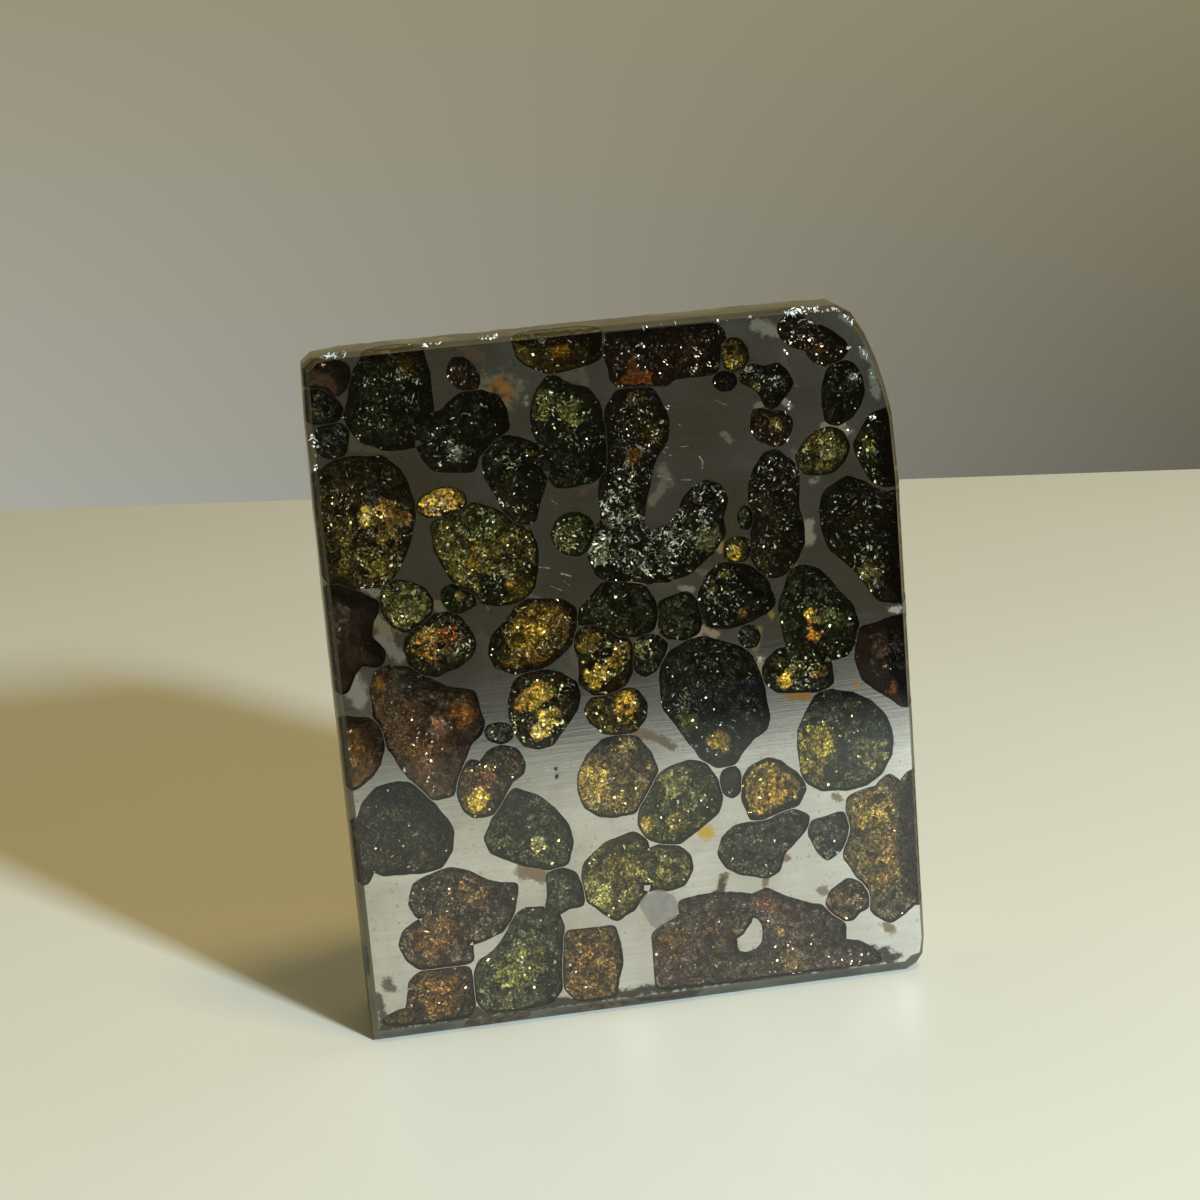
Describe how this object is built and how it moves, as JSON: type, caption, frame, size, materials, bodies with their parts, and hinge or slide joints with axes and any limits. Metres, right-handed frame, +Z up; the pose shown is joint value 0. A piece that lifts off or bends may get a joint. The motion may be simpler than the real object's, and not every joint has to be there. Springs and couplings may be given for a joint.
{
  "type": "pallasite meteorite end cut",
  "caption": "Upright stony-iron meteorite end cut: polished metal face with inset olivine crystals, sawn edges, flat base and a lumpy weathered back.",
  "frame": {"origin": "centre of the outer box, at the sawn base it stands on", "axes": "+Z up, the polished face looks along -Y, +X to its right as seen from the front"},
  "size_m": [0.0512, 0.0206, 0.062],
  "materials": {
    "polished_metal": "polished nickel-iron with fine grinding lines, weathered brown on the back",
    "dark_olivine": "near-black green olivine, polished flush",
    "green_olivine": "olive green olivine with internal cracks, polished flush",
    "gold_olivine": "gold to amber olivine with internal cracks, polished flush",
    "brown_olivine": "rust-brown altered olivine, polished flush",
    "grey_inclusion": "dull grey mineral inclusion, ground flush"
  },
  "bodies": {
    "root": {"metal_matrix": "polished_metal", "corner_brown": "brown_olivine", "left_grey_glitter": "dark_olivine", "left_small_dark": "dark_olivine", "upper_left_dark_pair": "dark_olivine", "small_brown_oval": "brown_olivine", "top_amber": "gold_olivine", "green_gold_over_black": "green_olivine", "top_long_brown": "brown_olivine", "red_brown_column_and_crush": "brown_olivine", "small_yellow_green": "gold_olivine", "dark_tear": "dark_olivine", "brown_pair": "brown_olivine", "right_black_oval": "dark_olivine", "brown_trapezoid": "brown_olivine", "green_gold_gem": "green_olivine", "right_edge_green_gold": "green_olivine", "dark_column": "dark_olivine", "right_large_dark": "dark_olivine", "left_large_gold_foot": "gold_olivine", "small_gold_cap": "gold_olivine", "large_green_gold": "green_olivine", "round_green": "green_olivine", "left_edge_brown_slab": "brown_olivine", "green_gold_oval": "gold_olivine", "small_green_wedge": "green_olivine", "amber_oval_dark_rim": "gold_olivine", "amber_leaf": "gold_olivine", "dark_green_cap": "dark_olivine", "amber_split": "gold_olivine", "small_dark_wedge": "dark_olivine", "dark_block": "dark_olivine", "dark_with_gold_flecks": "dark_olivine", "small_gold_nugget": "gold_olivine", "large_black": "dark_olivine", "green_amber_pair": "green_olivine", "right_edge_brown_black": "brown_olivine", "two_gold_lobes": "gold_olivine", "gold_amber_oval": "gold_olivine", "large_brown": "brown_olivine", "left_edge_orange": "brown_olivine", "two_lobed_amber": "gold_olivine", "left_dark_round": "dark_olivine", "green_black_kite": "dark_olivine", "green_gold_foot": "green_olivine", "lower_left_dark_and_brown": "brown_olivine", "lower_left_orange": "brown_olivine", "lower_orange_brown": "brown_olivine", "lower_red_brown_cluster": "brown_olivine", "lower_right_small_brown": "brown_olivine", "right_edge_amber_brown": "gold_olivine", "dark_trapezoid": "dark_olivine", "dark_comma": "dark_olivine", "orange_gold_gem": "gold_olivine", "round_black": "dark_olivine", "large_green_and_gold": "green_olivine", "large_gold_green": "gold_olivine", "green_gold_knuckle": "green_olivine", "gold_green_and_small": "gold_olivine", "grey_round_inclusion": "grey_inclusion"}
  },
  "joints": []
}
